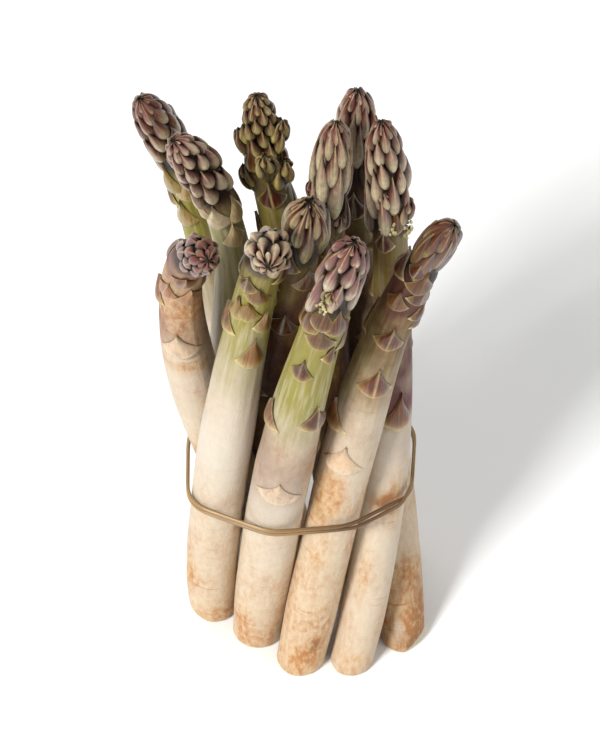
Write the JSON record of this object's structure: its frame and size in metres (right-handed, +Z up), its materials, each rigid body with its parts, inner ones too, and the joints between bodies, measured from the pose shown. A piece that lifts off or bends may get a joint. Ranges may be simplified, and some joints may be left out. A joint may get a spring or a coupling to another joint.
{
  "type": "bundle of asparagus",
  "caption": "Fresh white and green asparagus spears with scaly purple heads, standing upright and tied round the middle with a rubber band.",
  "frame": {"origin": "middle of the bundle's footprint, on the surface that the cut ends stand on", "axes": "+Z up along the spears, from the cut ends to the heads; -Y towards the front, where the tallest white spears are; +X towards the right seen from the front"},
  "size_m": [0.091, 0.0871, 0.2105],
  "materials": {
    "asparagus": "fresh vegetable skin, satin: cream-white and russet-stained low down, green stem, purple-brown scales",
    "rubber": "natural rubber, matt"
  },
  "bodies": {
    "root": {"spear_front_left": "asparagus", "spear_front_middle": "asparagus", "spear_front_right": "asparagus", "spear_right": "asparagus", "spear_far_right": "asparagus", "spear_left": "asparagus", "spear_back_left": "asparagus", "spear_middle_left": "asparagus", "spear_back_middle": "asparagus", "spear_back_right": "asparagus", "spear_middle": "asparagus", "rubber_band": "rubber"}
  },
  "joints": []
}
